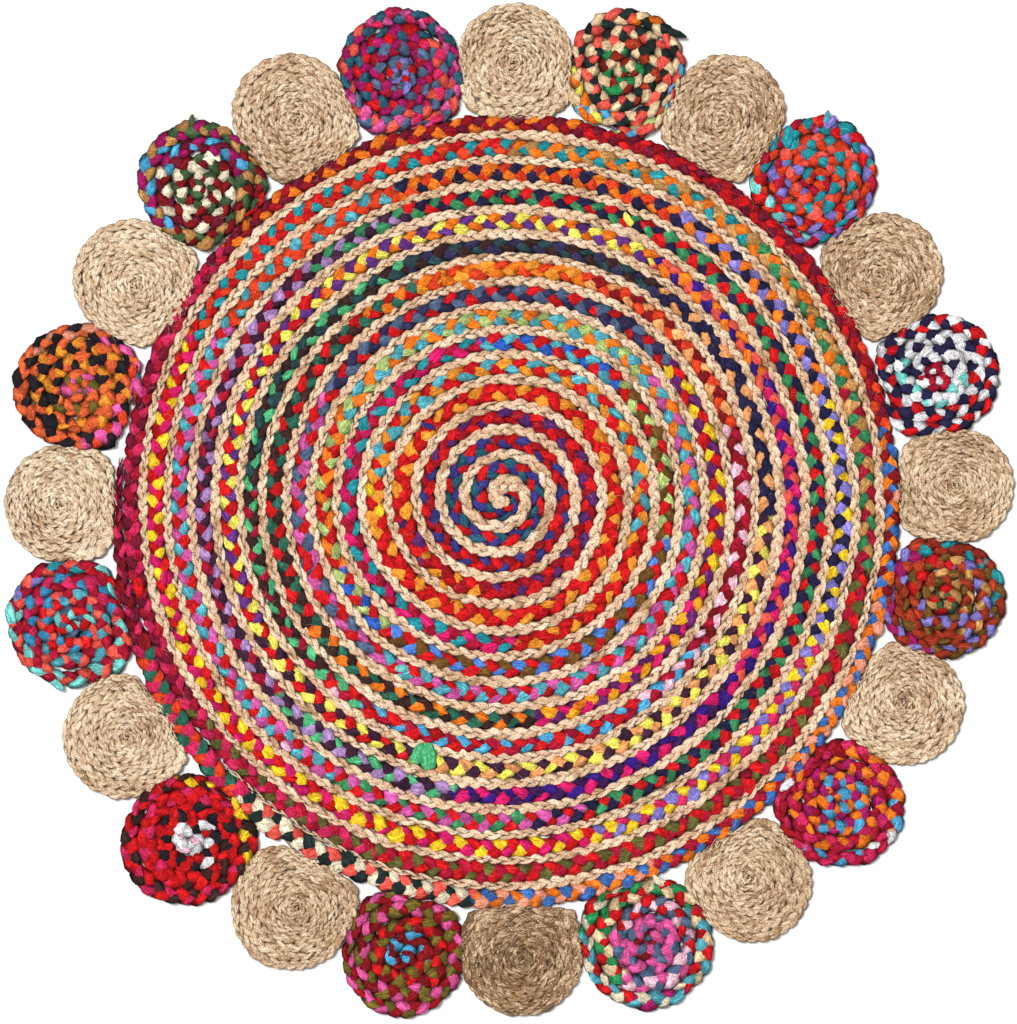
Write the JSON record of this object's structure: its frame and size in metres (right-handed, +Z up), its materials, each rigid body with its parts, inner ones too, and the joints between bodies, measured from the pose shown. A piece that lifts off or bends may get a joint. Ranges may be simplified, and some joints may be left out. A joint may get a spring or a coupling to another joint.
{
  "type": "round jute and cotton rag braided rug",
  "caption": "Round flat rug: a jute braid and a multicolour cotton rag braid coiled side by side in one spiral, ringed by small coiled medallions sewn to its rim.",
  "frame": {"origin": "under the middle of the whole rug's box, on the floor", "axes": "+Z up from the floor; +Y towards the first small jute coil at the top of the picture; +X to the right of the picture"},
  "size_m": [1.1943, 1.1983, 0.0094],
  "materials": {
    "jute_braid": "matte plaited jute yarn, straw to tan, with stray fibres",
    "cotton_rag_braid": "matte plaited cotton rag strips in many colours, red above all"
  },
  "bodies": {
    "root": {"centre_jute_braid": "jute_braid", "centre_cotton_braid": "cotton_rag_braid", "medallion_01_jute": "jute_braid", "medallion_02_cotton": "cotton_rag_braid", "medallion_03_jute": "jute_braid", "medallion_04_cotton": "cotton_rag_braid", "medallion_05_jute": "jute_braid", "medallion_06_cotton": "cotton_rag_braid", "medallion_07_jute": "jute_braid", "medallion_08_cotton": "cotton_rag_braid", "medallion_09_jute": "jute_braid", "medallion_10_cotton": "cotton_rag_braid", "medallion_11_jute": "jute_braid", "medallion_12_cotton": "cotton_rag_braid", "medallion_13_jute": "jute_braid", "medallion_14_cotton": "cotton_rag_braid", "medallion_15_jute": "jute_braid", "medallion_16_cotton": "cotton_rag_braid", "medallion_17_jute": "jute_braid", "medallion_18_cotton": "cotton_rag_braid", "medallion_19_jute": "jute_braid", "medallion_20_cotton": "cotton_rag_braid", "medallion_21_jute": "jute_braid", "medallion_22_cotton": "cotton_rag_braid", "medallion_23_jute": "jute_braid", "medallion_24_cotton": "cotton_rag_braid"}
  },
  "joints": []
}
